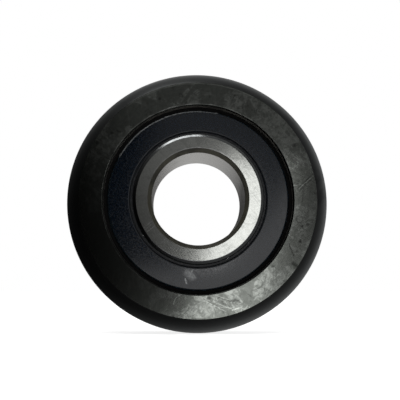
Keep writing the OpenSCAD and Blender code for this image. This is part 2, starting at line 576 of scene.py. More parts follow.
class Shading(NodeWriter):
    """Writes one surface material."""

    def __init__(self, name: str) -> None:
        """Starts an empty material with its output and its surface shader.

        Args:
            name: The material's name.
        """
        self.material = bpy.data.materials.new(name)
        self.material.use_nodes = True
        self.tree = self.material.node_tree
        self.tree.nodes.clear()
        self.surface = self.node("ShaderNodeBsdfPrincipled")
        self.node("ShaderNodeOutputMaterial", self.surface.outputs["BSDF"])
        self.place = self.node("ShaderNodeTexCoord").outputs["Object"]
        self.x, self.y, self.z = self.split(self.place)

    def colour(self, colour: Union[Colour, Socket]) -> None:
        """Sets the surface's colour."""
        self.put(self.surface.inputs["Base Color"], colour)

    def radius(self, centre: tuple[float, float] = (0.0, 0.0)) -> Socket:
        """Distance from a line along Y.

        Args:
            centre: X and Z of the line, in metres.

        Returns:
            The distance in metres.
        """
        dx = self.math("SUBTRACT", self.x, centre[0])
        dz = self.math("SUBTRACT", self.z, centre[1])
        return self.math("SQRT", self.add(self.times(dx, dx), self.times(dz, dz)))

    def shine(self, roughness: Value, metallic: float) -> None:
        """Sets the surface's roughness and how metallic it is."""
        self.put(self.surface.inputs["Roughness"], roughness)
        self.surface.inputs["Metallic"].default_value = metallic

    def relief(self, height: Value, depth: float) -> None:
        """Raises the surface without moving its mesh.

        Args:
            height: The height, as a share of the depth.
            depth: The depth in metres.
        """
        bump = self.node("ShaderNodeBump")
        bump.inputs["Strength"].default_value = 1.0
        bump.inputs["Distance"].default_value = depth
        self.put(bump.inputs["Height"], height)
        self.put(self.surface.inputs["Normal"], bump.outputs[0])

    def turned_lines(self, pitch: float) -> Socket:
        """The fine lines that turning leaves, which keep one value round the axis.

        Args:
            pitch: Distance from line to line, in metres.

        Returns:
            Soft noise, from about 0 to 1, that changes only with the radius and along the axis.
        """
        across = self.times(self.radius(), 1.0 / pitch)
        return self.noise(self.join(across, self.times(self.y, 1.0 / pitch), 0.0), 1.0, 2.0)

    def oblique_lines(self, angle: float, pitch: float, seed: float) -> Socket:
        """Straight fine grinding lines across a flat face.

        Args:
            angle: Direction of the lines in degrees, measured from +X towards +Z.
            pitch: Distance from line to line, in metres.
            seed: Moves the pattern.

        Returns:
            Soft noise, from about 0 to 1, that changes fast across them and slowly along them.
        """
        slowness = 0.035
        cos, sin = math.cos(math.radians(angle)) / pitch, math.sin(math.radians(angle)) / pitch
        across = self.add(self.times(self.x, -sin), self.times(self.z, cos))
        along = self.add(self.times(self.x, slowness * cos), self.times(self.z, slowness * sin))
        return self.noise(self.join(across, along, seed), 1.0, 2.0, 0.6)

    def near(self, place: Socket, mark: Mark) -> Socket:
        """How close a place is to a mark's middle line, 1 on the line and 0 off the mark.

        The distance to the line from a to b is |p - a - (b - a) * h|, where h is the share of the
        way along it, (p - a).(b - a) / |b - a|^2 held between 0 and 1. A ring mark takes the
        difference between that distance and the ring's radius.

        Args:
            place: The place, as a vector with Y left at 0.
            mark: The mark.

        Returns:
            The closeness, times the mark's strength.
        """
        (ax, az), (bx, bz) = mark.start, mark.end
        step = (MM * (bx - ax), 0.0, MM * (bz - az))
        length = max(step[0] ** 2 + step[2] ** 2, 1e-12)
        away = self.vector_math("SUBTRACT", place, (MM * ax, 0.0, MM * az)).outputs[0]
        dot = self.vector_math("DOT_PRODUCT", away, tuple(v / length for v in step))
        held = self.math("MINIMUM", self.math("MAXIMUM", dot.outputs["Value"], 0.0), 1.0)
        scaled = self.vector_math("SCALE", step)
        self.put(scaled.inputs["Scale"], held)
        rest = self.vector_math("SUBTRACT", away, scaled.outputs[0]).outputs[0]
        off = self.vector_math("LENGTH", rest).outputs["Value"]
        if mark.ring > 0:
            off = self.math("ABSOLUTE", self.math("SUBTRACT", off, MM * mark.ring))
        solid = 0.15 * MM * mark.width
        return self.smooth(off, solid, MM * mark.width, mark.share, 0.0)

    def vector_math(self, operation: str, *values: Union[Socket, Colour]) -> bpy.types.Node:
        """One step of vector arithmetic.

        Args:
            operation: Name of the step.
            values: The one or two vectors that it works on.

        Returns:
            The node, with the result on the output that the step uses.
        """
        step = self.node("ShaderNodeVectorMath", *values)
        step.operation = operation
        return step

    def marked(self, marks: Sequence[Mark], tone: Tone) -> Value:
        """The strongest mark of one tone at each place of the front face.

        The place is shaken by soft noise first, so the marks have ragged edges, and they are
        broken up along their length.

        Args:
            marks: Marks of either tone.
            tone: The tone to draw.

        Returns:
            The strength, from 0 to 1.
        """
        chosen = [m for m in marks if m.tone is tone]
        if not chosen:
            return 0.0
        shake = 0.8 * MM
        wobble = self.node("ShaderNodeTexNoise", self.place)
        wobble.inputs["Scale"].default_value = 420.0
        shift = self.split(wobble.outputs["Color"])
        wavy = self.join(
            self.add(self.x, self.times(shift[0], shake), -shake / 2), 0.0,
            self.add(self.z, self.times(shift[1], shake), -shake / 2),
        )
        strongest: Value = 0.0
        for mark in chosen:
            strongest = self.math("MAXIMUM", strongest, self.near(wavy, mark))
        broken = self.smooth(self.noise(self.place, 700.0, 2.0), 0.38, 0.56, 0.5, 1.0)
        return self.times(strongest, broken, self.math("LESS_THAN", self.y, 0.0))

    def scratches(
        self, centre: tuple[float, float], pitch: float, width: float, cover: float, seed: float
    ) -> Socket:
        """Sparse thin arcs about a centre, 1 on a scratch and 0 elsewhere.

        Args:
            centre: X and Z of the arcs' centre, in metres.
            pitch: Mean distance between scratches, in metres.
            width: Share of the pitch that a scratch takes.
            cover: Share of the surface that has scratches.
            seed: Moves the pattern.

        Returns:
            The scratches' value.
        """
        swim = self.noise(self.place, 38.0, 2.0)
        reach = self.add(
            self.times(self.radius(centre), 1.0 / pitch), self.times(swim, 1.4), seed
        )
        line = self.math("COMPARE", self.math("FRACT", reach), 0.5, width)
        patch = self.join(
            self.math("FLOOR", reach), self.times(self.x, 60.0), self.times(self.z, 60.0)
        )
        low = threshold(cover)
        return self.times(line, self.smooth(self.noise(patch, 1.0, 1.0), low, low + 0.04))


@dataclass(frozen=True)
class SteelFinish:
    """Bare or blackened steel with its lay, stains and grain, and painted shade within a given
    radius.

    Attributes:
        name: Name of the material.
        colour: Colour of the clean steel.
        stain: Colour of the stained steel.
        roughness: Roughness of the clean steel.
        stain_cover: How much of the surface is stained, from 0 to 1.
        stain_size: Size of a stain in metres.
        stain_roughness: What a stain adds to the roughness.
        lay: Which machining lines show.
        lay_pitch: Distance from line to line, in metres.
        lay_depth: Depth of the lines in metres.
        lay_share: How strongly the lines change the colour, from 0 to 1.
        grain: Depth of the fine all-over grain in metres.
        painted_shade_within: Radius, in metres, within which painted shade darkens the steel
            towards black.
        metallic: How metallic the surface is, from 0 to 1.
    """

    name: str
    colour: Colour
    stain: Colour
    roughness: float
    stain_cover: float = 0.4
    stain_size: float = 0.012
    stain_roughness: float = 0.08
    lay: Lay = Lay.NONE
    lay_pitch: float = 0.0006
    lay_depth: float = 0.000004
    lay_share: float = 0.12
    grain: float = 0.000003
    painted_shade_within: float = 0.0
    metallic: float = 1.0

    def material(self) -> bpy.types.Material:
        """Builds the material.

        Returns:
            The finished material.
        """
        s = Shading(self.name)
        low = threshold(self.stain_cover)
        patch = s.noise(s.place, 1.0 / self.stain_size, 5.0, 0.62, 0.4)
        stained = s.smooth(patch, low, low + 0.16)
        fine = s.noise(s.place, 900.0, 4.0, 0.7)
        colour = s.blend(stained, self.colour, self.stain)
        colour = s.blend(s.smooth(fine, 0.35, 0.7, 0.0, 0.25), colour, self.stain)
        height = s.times(fine, self.grain / max(self.lay_depth, 1e-9))
        spread = 0.10
        rough = s.add(
            s.times(stained, self.stain_roughness), s.times(fine, spread),
            self.roughness - spread / 2,
        )
        if self.lay is Lay.TURNED:
            lines = s.turned_lines(self.lay_pitch)
            colour = s.blend(s.smooth(lines, 0.42, 0.62, 0.0, self.lay_share), colour, self.stain)
            height = s.add(height, lines)
        # Painted shade: the steel darkens towards black within this radius and fades out over 4.5
        # mm.
        if self.painted_shade_within > 0:
            faded = self.painted_shade_within + 4.5 * MM
            painted_shade_share = s.smooth(s.radius(), self.painted_shade_within, faded, 0.58, 0.0)
            colour = s.blend(painted_shade_share, colour, SHADE_BLACK)
        s.colour(colour)
        s.shine(rough, self.metallic)
        s.relief(height, self.lay_depth)
        return s.material


@dataclass(frozen=True)
class GroundFace:
    """A flat face off the surface grinder, with an oil film, wisps, specks, scratches and painted
    highlights.

    Attributes:
        name: Name of the material.
        colour: Colour of the clean steel.
        film: Colour under the oil film.
        roughness: Roughness of the clean steel.
        film_size: Size of a patch of film in metres.
        film_cover: How much of the face is under film, from 0 to 1.
        mottle_share: How strongly the film is mottled, from 0 to 1.
        line_angle: Direction of the grinding lines in degrees, from +X towards +Z.
        line_pitch: Distance from grinding line to grinding line, in metres.
        line_share: How strongly the grinding lines darken the steel, from 0 to 1.
        wisp_share: How strongly the hair-thin curls in the film show, from 0 to 1.
        speck_share: How strongly the specks show, from 0 to 1.
        ripple: Depth of the uneven polish in metres, which breaks up what the face mirrors.
        marks: Marks that have places of their own; the bright ones are painted highlights.
    """

    name: str
    colour: Colour
    film: Colour
    roughness: float
    film_size: float = 0.014
    film_cover: float = 0.5
    mottle_share: float = 0.5
    line_angle: float = -27.0
    line_pitch: float = 0.0005
    line_share: float = 0.45
    wisp_share: float = 0.55
    speck_share: float = 0.6
    ripple: float = 0.000005
    marks: tuple[Mark, ...] = ()

    def film_patches(self, s: Shading) -> Socket:
        """Patches of oil film with crisp edges.

        Args:
            s: The material that is being written.

        Returns:
            1 under the film and 0 beside it.
        """
        low = threshold(self.film_cover, 0.60, 0.25)
        patch = s.noise(s.place, 1.0 / self.film_size, 5.0, 0.6, 0.9)
        return s.smooth(patch, low, low + 0.05)

    def mottling(self, s: Shading) -> Socket:
        """Cloudy blots a few millimetres across with finer ones inside them."""
        clouds = s.noise(s.place, 6.5 / self.film_size, 6.0, 0.68, 0.8)
        return s.smooth(clouds, 0.38, 0.62)

    def wisps(self, s: Shading) -> Socket:
        """Hair-thin curls, where one soft noise crosses its middle, in patches of another.

        Args:
            s: The material that is being written.

        Returns:
            1 on a curl and 0 beside it.
        """
        curl = s.noise(s.place, 1.4 / self.film_size, 2.0, 0.5, 2.6)
        off = s.math("ABSOLUTE", s.math("SUBTRACT", curl, 0.5))
        patch = s.noise(s.join(s.x, s.z, s.y), 1.0 / self.film_size, 2.0)
        return s.times(s.smooth(off, 0.0, 0.012, 1.0, 0.0), s.smooth(patch, 0.48, 0.56))

    def specks(self, s: Shading) -> Socket:
        """Small round specks, one in some of the cells of a scattered grid."""
        distance, tint = s.cells(s.place, 190.0)
        return s.times(s.smooth(distance, 0.08, 0.20, 1.0, 0.0), s.smooth(tint, 0.70, 0.74))

    def grinding(self, s: Shading) -> Socket:
        """Grinding lines with fainter ones across them, deeper in some places than in others.

        Args:
            s: The material that is being written.

        Returns:
            The lines' depth, from 0 up.
        """
        lines = s.oblique_lines(self.line_angle, self.line_pitch, 0.0)
        crossing = s.oblique_lines(self.line_angle + 68.0, 1.4 * self.line_pitch, 5.0)
        both = s.add(s.smooth(lines, 0.50, 0.68), s.smooth(crossing, 0.54, 0.70, 0.0, 0.7))
        patch = s.noise(s.place, 0.8 / self.film_size, 2.0)
        return s.times(both, s.smooth(patch, 0.42, 0.58, 0.35, 1.0))

    def material(self) -> bpy.types.Material:
        """Builds the material.

        Returns:
            The finished material.
        """
        s = Shading(self.name)
        film, mottle, wisps = self.film_patches(s), self.mottling(s), self.wisps(s)
        cut = self.grinding(s)
        scores, glints = s.marked(self.marks, Tone.DARK), s.marked(self.marks, Tone.BRIGHT)
        dark = tuple(0.3 * c for c in self.film)
        bright = tuple(min(1.0, 2.0 * c + 0.06) for c in self.colour)
        colour = s.blend(s.times(film, 0.75), self.colour, self.film)
        colour = s.blend(s.times(mottle, self.mottle_share), colour, self.film)
        colour = s.blend(s.times(cut, self.line_share), colour, self.film)
        colour = s.blend(s.times(wisps, self.wisp_share), colour, dark)
        colour = s.blend(s.times(self.specks(s), self.speck_share), colour, dark)
        colour = s.blend(s.times(scores, 0.9), colour, dark)
        arcs = s.scratches(centre=(0.16, 0.05), pitch=0.006, width=0.020, cover=0.35, seed=3.0)
        # Bright marks are painted highlights, along edges and on scratches; with the faint stray
        # scratch arcs they lighten the steel.
        colour = s.blend(s.times(s.add(s.times(arcs, 0.08), glints), 0.8), colour, bright)
        s.colour(colour)
        fine = s.noise(s.place, 1500.0, 2.0, 0.6)
        s.shine(
            s.add(
                s.times(film, 0.012), s.times(mottle, 0.012), s.times(wisps, 0.05),
                s.times(fine, 0.02), self.roughness,
            ),
            1.0,
        )
        polish = s.noise(s.place, 520.0, 3.0, 0.6)
        s.relief(s.add(polish, s.times(cut, -0.25), s.times(glints, -0.4)), self.ripple)
        return s.material


@dataclass(frozen=True)
class CoatedFinish:
    """A thin dark coating on sheet steel, or moulded rubber: matt, with dust and rubbed places, and
    bright marks that are scuffs on the cap and a painted highlight on its rim.

    Attributes:
        name: Name of the material.
        colour: Colour of the coating.
        rubbed: Colour where it is rubbed or dusty.
        roughness: Roughness of the coating.
        rubbed_cover: How much of it is rubbed, from 0 to 1.
        grain: Depth of its fine grain in metres.
        gloss: Strength of its mirror reflection, where 0.5 is that of common paint.
        speckle: How much rougher the specks in its gloss are.
        marks: Bright marks that have places of their own: scuffs, and on the cap's rim a painted
            highlight.
    """

    name: str
    colour: Colour
    rubbed: Colour
    roughness: float
    rubbed_cover: float = 0.3
    grain: float = 0.000008
    gloss: float = 0.5
    speckle: float = 0.13
    marks: tuple[Mark, ...] = ()

    def material(self) -> bpy.types.Material:
        """Builds the material.

        Returns:
            The finished material.
        """
        s = Shading(self.name)
        low = threshold(self.rubbed_cover, 0.66)
        patch = s.noise(s.place, 120.0, 5.0, 0.6, 0.3)
        rubbed = s.smooth(patch, low, low + 0.2, 0.0, 0.6)
        coarse = s.noise(s.place, 620.0, 3.0, 0.75)
        fine = s.noise(s.place, 1700.0, 2.0, 0.7)
        colour = s.blend(rubbed, self.colour, self.rubbed)
        colour = s.blend(s.smooth(coarse, 0.5, 0.75, 0.0, 0.6), colour, self.rubbed)
        # Bright marks: real scuffs on the cap, and on its rim a painted highlight.
        scuffs_and_glints = s.times(s.marked(self.marks, Tone.BRIGHT), s.smooth(fine, 0.35, 0.6, 0.6, 1.0))
        s.colour(s.blend(scuffs_and_glints, colour, SCUFF_AND_GLINT))
        speckle = s.smooth(s.noise(s.place, 1150.0, 3.0, 0.8), 0.36, 0.64)
        spread = 0.10
        even = self.roughness - spread / 2 - self.speckle / 2
        rough = s.add(
            s.times(coarse, spread), s.times(speckle, self.speckle), s.times(rubbed, 0.05), even
        )
        s.shine(rough, 0.0)
        s.surface.inputs["Specular IOR Level"].default_value = self.gloss
        s.relief(s.add(coarse, s.times(fine, 0.5)), self.grain)
        return s.material


def painted_highlight_arc(
    radius: float, start: float, end: float, width: float, share: float, steps: int = 7
) -> tuple[Mark, ...]:
    """A painted highlight along an arc about the spin axis, as a chain of short bright marks.

    Args:
        radius: The arc's radius in millimetres.
        start: First angle in degrees, from +X towards +Z.
        end: Last angle in degrees.
        width: Width of each mark in millimetres.
        share: Strength in the middle of the arc; it halves towards both ends.
        steps: Number of marks in the chain.

    Returns:
        The chain.
    """
    angles = np.radians(np.linspace(start, end, steps + 1))
    at = [(radius * math.cos(a), radius * math.sin(a)) for a in angles]
    fade = 0.5 + 0.5 * np.sin(np.pi * (np.arange(steps) + 0.5) / steps)
    return tuple(
        Mark(at[k], at[k + 1], width, Tone.BRIGHT, float(share * fade[k])) for k in range(steps)
    )


# The front side face: painted highlights as bright arcs along its two edges at the top, stains,
# dark specks and scores on its right, and bright strokes across its lowest part, which are
# scratches with painted glints.
SIDE_FACE_MARKS = (
    *painted_highlight_arc(41.3, 56.0, 148.0, 0.42, 1.0),
    *painted_highlight_arc(50.6, 62.0, 128.0, 0.40, 0.45),
    Mark((43.0, -8.8), (43.0, -8.8), 0.32, share=0.6, ring=1.4),
    Mark((44.2, -11.8), (44.2, -11.8), 0.9),
    Mark((43.2, -18.2), (43.2, -18.2), 1.2),
    Mark((42.7, 7.6), (42.7, 7.6), 0.8, share=0.8),
    Mark((50.0, 2.3), (50.0, 2.3), 0.8, share=0.7),
    Mark((47.1, -3.1), (47.1, -3.1), 1.1, share=0.6),
    Mark((41.7, -22.6), (41.7, -22.6), 1.0, share=0.8),
    Mark((41.3, -28.6), (40.0, -27.6), 1.3, share=0.9),
    Mark((40.5, -29.4), (42.2, -29.8), 1.0, share=0.6),
    Mark((38.3, -19.3), (39.2, -21.6), 0.30),
    Mark((39.2, -21.6), (40.2, -24.4), 0.38),
    Mark((42.5, 4.4), (49.2, 10.6), 0.26, share=0.8),
    Mark((43.3, 3.6), (50.0, 9.7), 0.24, share=0.6),
    Mark((42.9, 4.1), (49.6, 10.2), 0.20, Tone.BRIGHT, 0.5),
    Mark((47.0, 9.0), (45.0, 4.5), 0.28, share=0.7),
    Mark((45.0, 4.5), (44.4, -1.2), 0.28, share=0.8),
    Mark((44.4, -1.2), (43.0, -4.6), 0.26, share=0.5),
    Mark((24.0, -38.5), (27.2, -36.6), 0.26, share=0.5),
    Mark((27.2, -36.6), (28.0, -40.3), 0.26, share=0.4),
    Mark((20.6, -40.4), (23.4, -42.4), 0.26, share=0.6),
    Mark((30.2, -37.8), (28.4, -41.4), 0.24, share=0.6),
    Mark((-10.4, -44.5), (-9.4, -42.0), 0.30, Tone.BRIGHT, 0.5),
    Mark((-9.4, -42.0), (-7.3, -40.5), 0.26, Tone.BRIGHT, 0.4),
    Mark((14.2, -47.0), (17.6, -46.0), 0.45, Tone.BRIGHT, 0.6),
    Mark((6.0, -43.6), (14.0, -46.6), 0.22, Tone.BRIGHT, 0.5),
    Mark((3.2, -43.4), (11.5, -47.8), 0.20, Tone.BRIGHT, 0.4),
    Mark((8.2, -41.2), (13.4, -43.0), 0.24, Tone.BRIGHT, 0.35),
    Mark((5.0, -45.6), (16.0, -46.2), 0.20, Tone.BRIGHT, 0.3),
    Mark((2.0, -42.5), (10.0, -46.4), 0.20, share=0.8),
    Mark((4.0, -41.8), (13.0, -45.4), 0.18, share=0.8),
    Mark((9.0, -42.2), (18.0, -44.0), 0.18, share=0.7),
    Mark((14.0, -40.6), (16.6, -43.4), 0.8, share=0.45),
    Mark((17.0, -41.4), (15.0, -44.6), 1.0, share=0.35),
    Mark((10.5, -40.0), (8.0, -42.4), 0.7, share=0.35),
)
# The inner ring's front face: a painted highlight as a bright arc along the top of the bore's
# chamfer, and a stone's crossed strokes at the lower left, which are scratches with painted glints.
SHOULDER_MARKS = (
    *painted_highlight_arc(21.9, 45.0, 150.0, 0.55, 0.9),
    Mark((-23.0, -12.7), (-19.6, -9.9), 0.20, Tone.BRIGHT, 0.9),
    Mark((-22.3, -13.4), (-18.9, -10.6), 0.18, Tone.BRIGHT, 0.7),
    Mark((-21.6, -14.5), (-18.4, -12.0), 0.22, Tone.BRIGHT, 1.0),
    Mark((-19.6, -9.9), (-15.5, -15.1), 0.18, Tone.BRIGHT, 0.5),
    Mark((-16.0, -19.6), (-13.6, -17.2), 0.18, Tone.BRIGHT, 0.6),
    Mark((-9.0, -23.6), (-7.6, -20.6), 0.20, share=0.5),
)
# The front cap: one scuff at the bottom, and a painted highlight along the crest of its shoulder at
# the upper left.
CAP_MARKS = (
    Mark((-4.6, -31.5), (-2.8, -33.2), 2.4, Tone.BRIGHT, 0.5),
    Mark((-5.0, -36.0), (-5.5, -34.0), 0.55, Tone.BRIGHT, 1.0),
    Mark((-2.3, -30.3), (-3.8, -33.0), 0.6, Tone.BRIGHT, 0.7),
    Mark((-3.0, -31.2), (-1.2, -33.6), 0.5, Tone.BRIGHT, 0.5),
)
RIM_GLINT_MARKS = painted_highlight_arc(38.55, 78.0, 152.0, 0.6, 1.0)


@dataclass(frozen=True)
class Finishes:
    """Every finish on the roller, by the piece and surface that it belongs to."""

    side_face: GroundFace = GroundFace(
        "ground_side_face", (0.305, 0.320, 0.298), (0.125, 0.133, 0.121), 0.09,
        mottle_share=0.8, line_share=0.45, wisp_share=0.75, ripple=0.000007,
        marks=SIDE_FACE_MARKS,
    )
    # The tread carries painted shade: its steel is darker next to the side face.
    tread: SteelFinish = SteelFinish(
        "satin_tread", (0.166, 0.173, 0.172), (0.106, 0.112, 0.112), 0.40,
        stain_cover=0.3, stain_size=0.02, lay=Lay.TURNED, lay_pitch=0.0004, lay_share=0.2,
        painted_shade_within=0.0512,
    )
    worn_edge: SteelFinish = SteelFinish(
        "worn_edge", (0.36, 0.37, 0.35), (0.08, 0.083, 0.078), 0.14,
        stain_cover=0.75, stain_size=0.012,
    )
    faint_edge: SteelFinish = SteelFinish(
        "faintly_worn_edge", (0.062, 0.065, 0.061), (0.030, 0.032, 0.030), 0.20,
        stain_cover=0.6, stain_size=0.006,
    )
    # Painted shade: the seat, whose mouth shows in the gap between cap and side face, is near-black
    # and not metallic.
    seat: SteelFinish = SteelFinish(
        "oiled_seat", (0.036, 0.035, 0.031), (0.018, 0.0175, 0.0155), 0.45,
        lay=Lay.TURNED, lay_pitch=0.0003, metallic=0.0,
    )
    raceway: SteelFinish = SteelFinish(
        "honed_raceway", (0.62, 0.61, 0.59), (0.5, 0.5, 0.48), 0.14,
        stain_cover=0.1, lay=Lay.TURNED, lay_pitch=0.0002, lay_share=0.1, lay_depth=0.000001,
    )
    shoulder_face: GroundFace = GroundFace(
        "bright_shoulder_face", (0.62, 0.632, 0.60), (0.45, 0.46, 0.435), 0.10,
        film_size=0.006, film_cover=0.15, mottle_share=0.45, line_angle=-50.0, line_pitch=0.0004,
        line_share=0.8, wisp_share=0.1, speck_share=0.15, ripple=0.000004, marks=SHOULDER_MARKS,
    )
    bore_wall: SteelFinish = SteelFinish(
        "ground_bore_wall", (0.62, 0.61, 0.58), (0.5, 0.49, 0.46), 0.28,
        stain_cover=0.2, lay=Lay.TURNED, lay_pitch=0.0003, lay_share=0.15,
    )
    bore_chamfer: SteelFinish = SteelFinish(
        "scaled_bore_chamfer", (0.041, 0.039, 0.027), (0.022, 0.021, 0.015), 0.50,
        stain_cover=0.5, lay=Lay.TURNED, metallic=0.1,
    )
    shoulder_round: SteelFinish = SteelFinish(
        "shoulder_round", (0.26, 0.27, 0.27), (0.19, 0.197, 0.198), 0.18,
        stain_cover=0.4, lay=Lay.TURNED, lay_pitch=0.0003,
    )
    seal_cap: CoatedFinish = CoatedFinish(
        "blue_black_cap", (0.0006, 0.0024, 0.0055), (0.002, 0.005, 0.009), 0.235,
        rubbed_cover=0.3, grain=0.000012, gloss=0.95, marks=CAP_MARKS,
    )
    # The rim carries a painted highlight: a bright arc at the upper left.
    seal_rim: CoatedFinish = CoatedFinish(
        "rubbed_cap_rim", (0.002, 0.005, 0.008), (0.006, 0.008, 0.010), 0.24,
        grain=0.000001, gloss=1.0, speckle=0.02, marks=RIM_GLINT_MARKS,
    )
    cap_curl: CoatedFinish = CoatedFinish(
        "blue_black_curl", (0.002, 0.004, 0.007), (0.004, 0.007, 0.010), 0.42,
        grain=0.000004, gloss=0.7,
    )
    # Painted shade: the cap's wall, flange and underside, which show in the same gap, are matt
    # black.
    cap_groove: CoatedFinish = CoatedFinish(
        "grimed_cap_groove", (0.001, 0.001, 0.001), (0.003, 0.003, 0.0027), 0.6, gloss=0.15,
    )
    rubber: CoatedFinish = CoatedFinish(
        "nitrile_rubber", (0.012, 0.013, 0.015), (0.05, 0.05, 0.05), 0.5, gloss=0.4,
    )
    ball: SteelFinish = SteelFinish(
        "lapped_ball", (0.78, 0.78, 0.77), (0.6, 0.6, 0.59), 0.08,
        stain_cover=0.15, grain=0.0000005, lay_depth=0.000001,
    )
    cage: SteelFinish = SteelFinish(
        "pressed_cage", (0.42, 0.41, 0.37), (0.26, 0.25, 0.21), 0.38,
        stain_cover=0.45, stain_size=0.008,
    )
    rivet: SteelFinish = SteelFinish(
        "headed_rivet", (0.55, 0.55, 0.54), (0.35, 0.35, 0.33), 0.32,
        stain_cover=0.4, stain_size=0.002,
    )
    plate: SteelFinish = SteelFinish(
        "zinc_plate", (0.5, 0.51, 0.53), (0.34, 0.35, 0.36), 0.33,
        stain_cover=0.4, lay=Lay.TURNED, lay_pitch=0.0005,
    )


# ---------------------------------------------------------------- the roller's sub-assemblies


class Ring(Enum):
    """The two rings, by the side of the balls that each one is on."""

    INNER = -1
    OUTER = 1


@dataclass(frozen=True)
class Raceway:
    """The two grooves that the balls run between.

    Sizes are in millimetres. The groove's radius is a share of the ball's diameter.
    """

    ball_radius: float = 7.54
    pitch_radius: float = 33.4
    conformity: float = 0.52
    play: float = 0.02
    steps: int = 12

    def corners(self, ring: Ring, land_radius: float) -> list[Corner]:
        """Half of one ring's groove, from the middle plane out to the land beside it.

        Args:
            ring: The ring that the groove is in.
            land_radius: Radius of the land.

        Returns:
            The arc's corners, both ends included.
        """
        radius = 2 * self.ball_radius * self.conformity
        centre = self.pitch_radius + ring.value * (self.ball_radius + self.play - radius)
        reach = math.degrees(math.acos(ring.value * (land_radius - centre) / radius))
        start, end = (0.0, reach) if ring is Ring.OUTER else (180.0, 180.0 - reach)
        return arc_corners((centre, 0.0), radius, start, end, self.steps, "raceway")


@dataclass
class OuterRing:
    """The thick outer ring, which is the roller: tread, side faces, seal seats and raceway.

    Sizes are in millimetres.
    """

    finishes: Finishes
    tread_radius: float
    half_width: float
    raceway: Raceway = Raceway()
    crown_radius: float = 12.7
    crown_centre: tuple[float, float] = (44.47, 2.73)
    crown_steps: int = 30
    mouth_radius: float = 40.6
    mouth_chamfer: float = 0.5
    seat_along: float = 9.3
    undercut_radius: float = 41.3
    undercut_width: float = 0.9
    land_radius: float = 38.5

    def crown(self) -> list[Corner]:
        """The rounded tread from the side face to where it meets the full radius.

        Returns:
            The arc's corners, both ends included.
        """
        centre_radius, centre_along = self.crown_centre
        face = math.degrees(math.asin((self.half_width - centre_along) / self.crown_radius))
        flat = math.degrees(math.acos((self.tread_radius - centre_radius) / self.crown_radius))
        return arc_corners(
            self.crown_centre, self.crown_radius, face, flat, self.crown_steps, "tread"
        )

    def corners(self) -> list[Corner]:
        """The closed half section, from the raceway out over the seat, the face and the tread.

        Returns:
            Its corners, front and rear alike.
        """
        groove = self.raceway.corners(Ring.OUTER, self.land_radius)
        crown = self.crown()
        seat_end = self.seat_along + self.undercut_width
        mouth_end = self.half_width - self.mouth_chamfer
        face_start = self.mouth_radius + self.mouth_chamfer
        half = [
            *groove[:-1],
            Corner(self.land_radius, groove[-1].along, "seat", 0.1),
            Corner(self.land_radius, self.seat_along, "seat", 0.1),
            Corner(self.undercut_radius, self.seat_along, "seat", 0.1),
            Corner(self.undercut_radius, seat_end, "seat", 0.1),
            Corner(self.mouth_radius, seat_end, "seat", 0.08),
            Corner(self.mouth_radius, mouth_end, "faint_edge", 0.08),
            Corner(face_start, self.half_width, "side_face", 0.12, "worn_edge"),
            Corner(crown[0].radius, crown[0].along, "tread", 0.18, "faint_edge"),
            *crown[1:],
        ]
        return half + mirrored(half[1:])

    def build(self) -> bpy.types.Object:
        """Turns the ring and sets it to move with the roller.

        Returns:
            The finished piece.
        """
        looks = {
            "raceway": self.finishes.raceway.material(),
            "seat": self.finishes.seat.material(),
            "side_face": self.finishes.side_face.material(),
            "worn_edge": self.finishes.worn_edge.material(),
            "faint_edge": self.finishes.faint_edge.material(),
            "tread": self.finishes.tread.material(),
        }
        piece = Turning(384, EdgeWear(5)).build("roller_ring", self.corners(), looks)
        return settled(piece, "roller", "outer_ring")


@dataclass
class InnerRing:
    """The inner ring that sits on the stud: bore, chamfers, faces, shoulders and raceway.

    Sizes are in millimetres. The shoulder is a round that was stoned to a nearly flat slope beside
    the face, from the knee on; its blends are the radii at its land end, knee and face end.
    """

    finishes: Finishes
    bore_radius: float
    half_width: float
    raceway: Raceway = Raceway()
    bore_chamfer: float = 1.6
    land_radius: float = 28.2
    shoulder_round: float = 1.5
    knee_angle: float = 57.0
    blends: tuple[float, float, float] = (1.0, 0.9, 0.5)

    def shoulder(self) -> list[Corner]:
        """The stoned shoulder, with its knee at an angle on the round it was.

        Returns:
            Its three corners, from the land to the face.
        """
        size, angle = self.shoulder_round, math.radians(self.knee_angle)
        start = self.half_width - size
        knee = (
            self.land_radius - size * (1 - math.sin(angle)),
            start + size * math.cos(angle),
        )
        land_blend, knee_blend, face_blend = self.blends
        look = "shoulder_round"
        return [
            Corner(self.land_radius, start + 0.05, look, land_blend),
            Corner(*knee, look, knee_blend),
            Corner(self.land_radius - size, self.half_width, "shoulder_face", face_blend, look),
        ]

    def corners(self) -> list[Corner]:
        """The closed half section, from the raceway over the shoulder and the face to the bore.

        Returns:
            Its corners, front and rear alike.
        """
        groove = self.raceway.corners(Ring.INNER, self.land_radius)
        chamfer_start = self.bore_radius + self.bore_chamfer
        chamfer_end = self.half_width - self.bore_chamfer
        half = [
            *groove[:-1],
            Corner(self.land_radius, groove[-1].along, "shoulder_round", 0.1),
            *self.shoulder(),
            Corner(chamfer_start, self.half_width, "bore_chamfer", 0.30, "bore_chamfer"),
            Corner(self.bore_radius, chamfer_end, "bore_wall", 0.15),
        ]
        return half + mirrored(half[1:])

    def build(self) -> bpy.types.Object:
        """Turns the ring and sets it to stay with the stud.

        Returns:
            The finished piece.
        """
        looks = {
            "raceway": self.finishes.raceway.material(),
            "shoulder_round": self.finishes.shoulder_round.material(),
            "shoulder_face": self.finishes.shoulder_face.material(),
            "bore_chamfer": self.finishes.bore_chamfer.material(),
            "bore_wall": self.finishes.bore_wall.material(),
        }
        wear = EdgeWear(8, 0.9, 1.0)
        piece = Turning(320, wear).build("bearing_inner_ring", self.corners(), looks)
        return settled(piece, "inner_race", "inner_ring")


